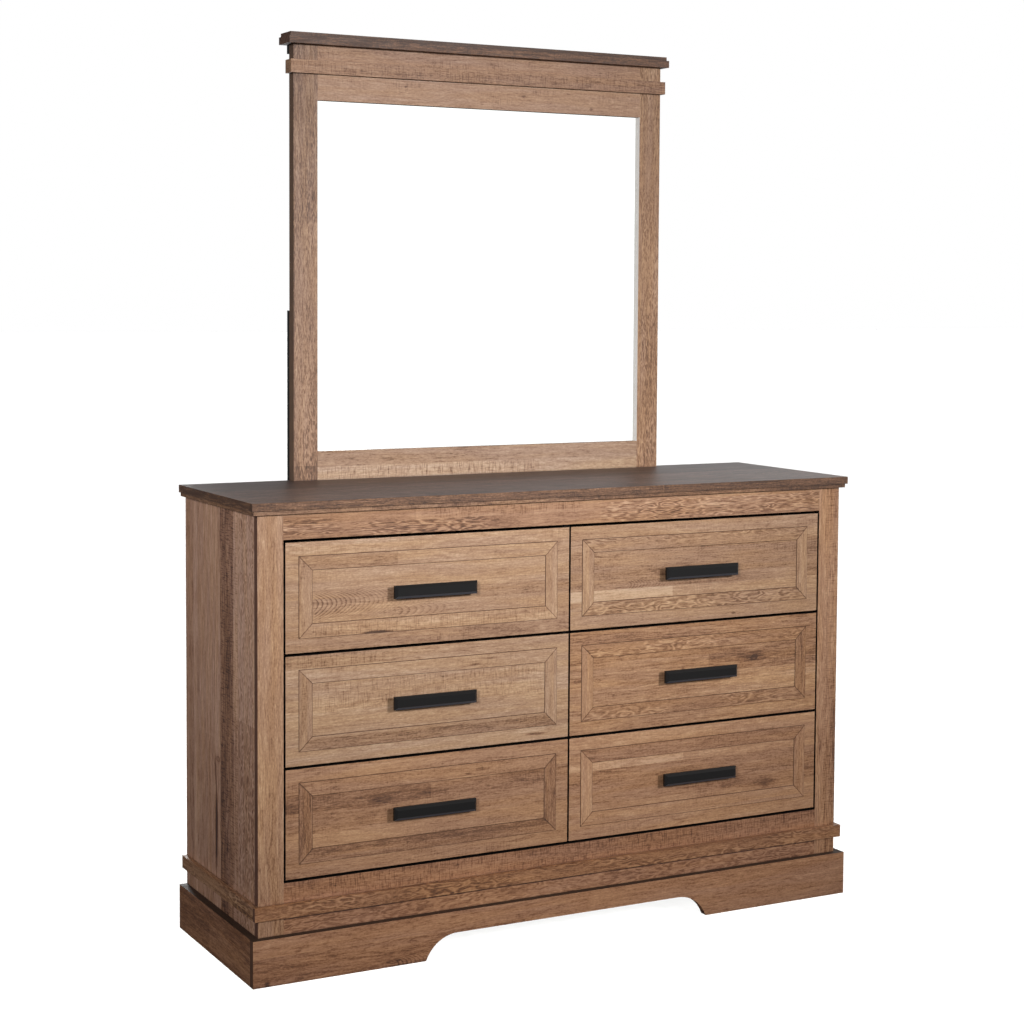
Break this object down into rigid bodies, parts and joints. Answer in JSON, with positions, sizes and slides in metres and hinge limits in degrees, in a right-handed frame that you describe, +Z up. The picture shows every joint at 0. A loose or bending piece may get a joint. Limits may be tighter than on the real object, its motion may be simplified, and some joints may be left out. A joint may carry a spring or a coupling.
{
  "type": "dresser with mirror",
  "caption": "Wide oak-grain dresser with framed drawers on telescopic slides, black bar pulls, an arched plinth and a framed mirror standing on its top.",
  "frame": {"origin": "on the floor under the middle of the whole object, pulls and mirror cap included", "axes": "+Z up, the drawers open towards -Y, +X to the right seen from the front"},
  "size_m": [1.35, 0.4436, 1.8095],
  "materials": {
    "oak_laminate": "satin oak-grain laminate with sawn marks, on board",
    "carcass_board": "plain brown melamine-faced particle board",
    "back_board": "smooth brown hardboard",
    "drawer_board": "pale wood-grain foil on board",
    "drawer_bottom_board": "pale printed hardboard",
    "black_wood": "black-painted wood",
    "black_metal": "satin black lacquer on die-cast metal",
    "zinc_steel": "bright zinc-plated steel",
    "silvered_glass": "silvered plate glass"
  },
  "bodies": {
    "cabinet": {"top_panel": "oak_laminate", "top_moulding": "oak_laminate", "side_panels": "oak_laminate", "center_partition": "carcass_board", "bottom_panel": "carcass_board", "back_panel": "back_board", "back_rail": "carcass_board", "front_stiles": "oak_laminate", "front_rails": "oak_laminate", "belt_moulding": "oak_laminate", "plinth_front": "oak_laminate", "plinth_sides": "oak_laminate", "plinth_back": "carcass_board", "slide_packers": "carcass_board", "slide_outer_members": "zinc_steel", "mirror_stiles": "oak_laminate", "mirror_rails": "oak_laminate", "mirror_glass": "silvered_glass", "mirror_backing": "back_board", "mirror_belt": "oak_laminate", "mirror_cap": "oak_laminate", "mirror_cleat": "black_wood", "mirror_supports": "black_wood", "support_screws": "zinc_steel"},
    "drawer_bottom_left": {"drawer_bottom_left_front": "oak_laminate", "drawer_bottom_left_box": "drawer_board", "drawer_bottom_left_bottom": "drawer_bottom_board", "drawer_bottom_left_pull": "black_metal", "drawer_bottom_left_slide_inner": "zinc_steel"},
    "drawer_bottom_left_slide": {"drawer_bottom_left_slide_middle": "zinc_steel"},
    "drawer_bottom_right": {"drawer_bottom_right_front": "oak_laminate", "drawer_bottom_right_box": "drawer_board", "drawer_bottom_right_bottom": "drawer_bottom_board", "drawer_bottom_right_pull": "black_metal", "drawer_bottom_right_slide_inner": "zinc_steel"},
    "drawer_bottom_right_slide": {"drawer_bottom_right_slide_middle": "zinc_steel"},
    "drawer_middle_left": {"drawer_middle_left_front": "oak_laminate", "drawer_middle_left_box": "drawer_board", "drawer_middle_left_bottom": "drawer_bottom_board", "drawer_middle_left_pull": "black_metal", "drawer_middle_left_slide_inner": "zinc_steel"},
    "drawer_middle_left_slide": {"drawer_middle_left_slide_middle": "zinc_steel"},
    "drawer_middle_right": {"drawer_middle_right_front": "oak_laminate", "drawer_middle_right_box": "drawer_board", "drawer_middle_right_bottom": "drawer_bottom_board", "drawer_middle_right_pull": "black_metal", "drawer_middle_right_slide_inner": "zinc_steel"},
    "drawer_middle_right_slide": {"drawer_middle_right_slide_middle": "zinc_steel"},
    "drawer_top_left": {"drawer_top_left_front": "oak_laminate", "drawer_top_left_box": "drawer_board", "drawer_top_left_bottom": "drawer_bottom_board", "drawer_top_left_pull": "black_metal", "drawer_top_left_slide_inner": "zinc_steel"},
    "drawer_top_left_slide": {"drawer_top_left_slide_middle": "zinc_steel"},
    "drawer_top_right": {"drawer_top_right_front": "oak_laminate", "drawer_top_right_box": "drawer_board", "drawer_top_right_bottom": "drawer_bottom_board", "drawer_top_right_pull": "black_metal", "drawer_top_right_slide_inner": "zinc_steel"},
    "drawer_top_right_slide": {"drawer_top_right_slide_middle": "zinc_steel"}
  },
  "joints": [
    {"name": "drawer_bottom_left_slide", "type": "slide", "parent": "cabinet", "child": "drawer_bottom_left", "axis": [0, -1, 0], "range_m": [0, 0.35]},
    {"name": "drawer_bottom_left_middle_slide", "type": "slide", "parent": "cabinet", "child": "drawer_bottom_left_slide", "axis": [0, -1, 0], "range_m": [0, 0.175]},
    {"name": "drawer_bottom_right_slide", "type": "slide", "parent": "cabinet", "child": "drawer_bottom_right", "axis": [0, -1, 0], "range_m": [0, 0.35]},
    {"name": "drawer_bottom_right_middle_slide", "type": "slide", "parent": "cabinet", "child": "drawer_bottom_right_slide", "axis": [0, -1, 0], "range_m": [0, 0.175]},
    {"name": "drawer_middle_left_slide", "type": "slide", "parent": "cabinet", "child": "drawer_middle_left", "axis": [0, -1, 0], "range_m": [0, 0.35]},
    {"name": "drawer_middle_left_middle_slide", "type": "slide", "parent": "cabinet", "child": "drawer_middle_left_slide", "axis": [0, -1, 0], "range_m": [0, 0.175]},
    {"name": "drawer_middle_right_slide", "type": "slide", "parent": "cabinet", "child": "drawer_middle_right", "axis": [0, -1, 0], "range_m": [0, 0.35]},
    {"name": "drawer_middle_right_middle_slide", "type": "slide", "parent": "cabinet", "child": "drawer_middle_right_slide", "axis": [0, -1, 0], "range_m": [0, 0.175]},
    {"name": "drawer_top_left_slide", "type": "slide", "parent": "cabinet", "child": "drawer_top_left", "axis": [0, -1, 0], "range_m": [0, 0.35]},
    {"name": "drawer_top_left_middle_slide", "type": "slide", "parent": "cabinet", "child": "drawer_top_left_slide", "axis": [0, -1, 0], "range_m": [0, 0.175]},
    {"name": "drawer_top_right_slide", "type": "slide", "parent": "cabinet", "child": "drawer_top_right", "axis": [0, -1, 0], "range_m": [0, 0.35]},
    {"name": "drawer_top_right_middle_slide", "type": "slide", "parent": "cabinet", "child": "drawer_top_right_slide", "axis": [0, -1, 0], "range_m": [0, 0.175]}
  ],
  "couplings": [
    {"joint": "drawer_bottom_left_middle_slide", "follows": "drawer_bottom_left_slide", "ratio": 0.5},
    {"joint": "drawer_bottom_right_middle_slide", "follows": "drawer_bottom_right_slide", "ratio": 0.5},
    {"joint": "drawer_middle_left_middle_slide", "follows": "drawer_middle_left_slide", "ratio": 0.5},
    {"joint": "drawer_middle_right_middle_slide", "follows": "drawer_middle_right_slide", "ratio": 0.5},
    {"joint": "drawer_top_left_middle_slide", "follows": "drawer_top_left_slide", "ratio": 0.5},
    {"joint": "drawer_top_right_middle_slide", "follows": "drawer_top_right_slide", "ratio": 0.5}
  ]
}
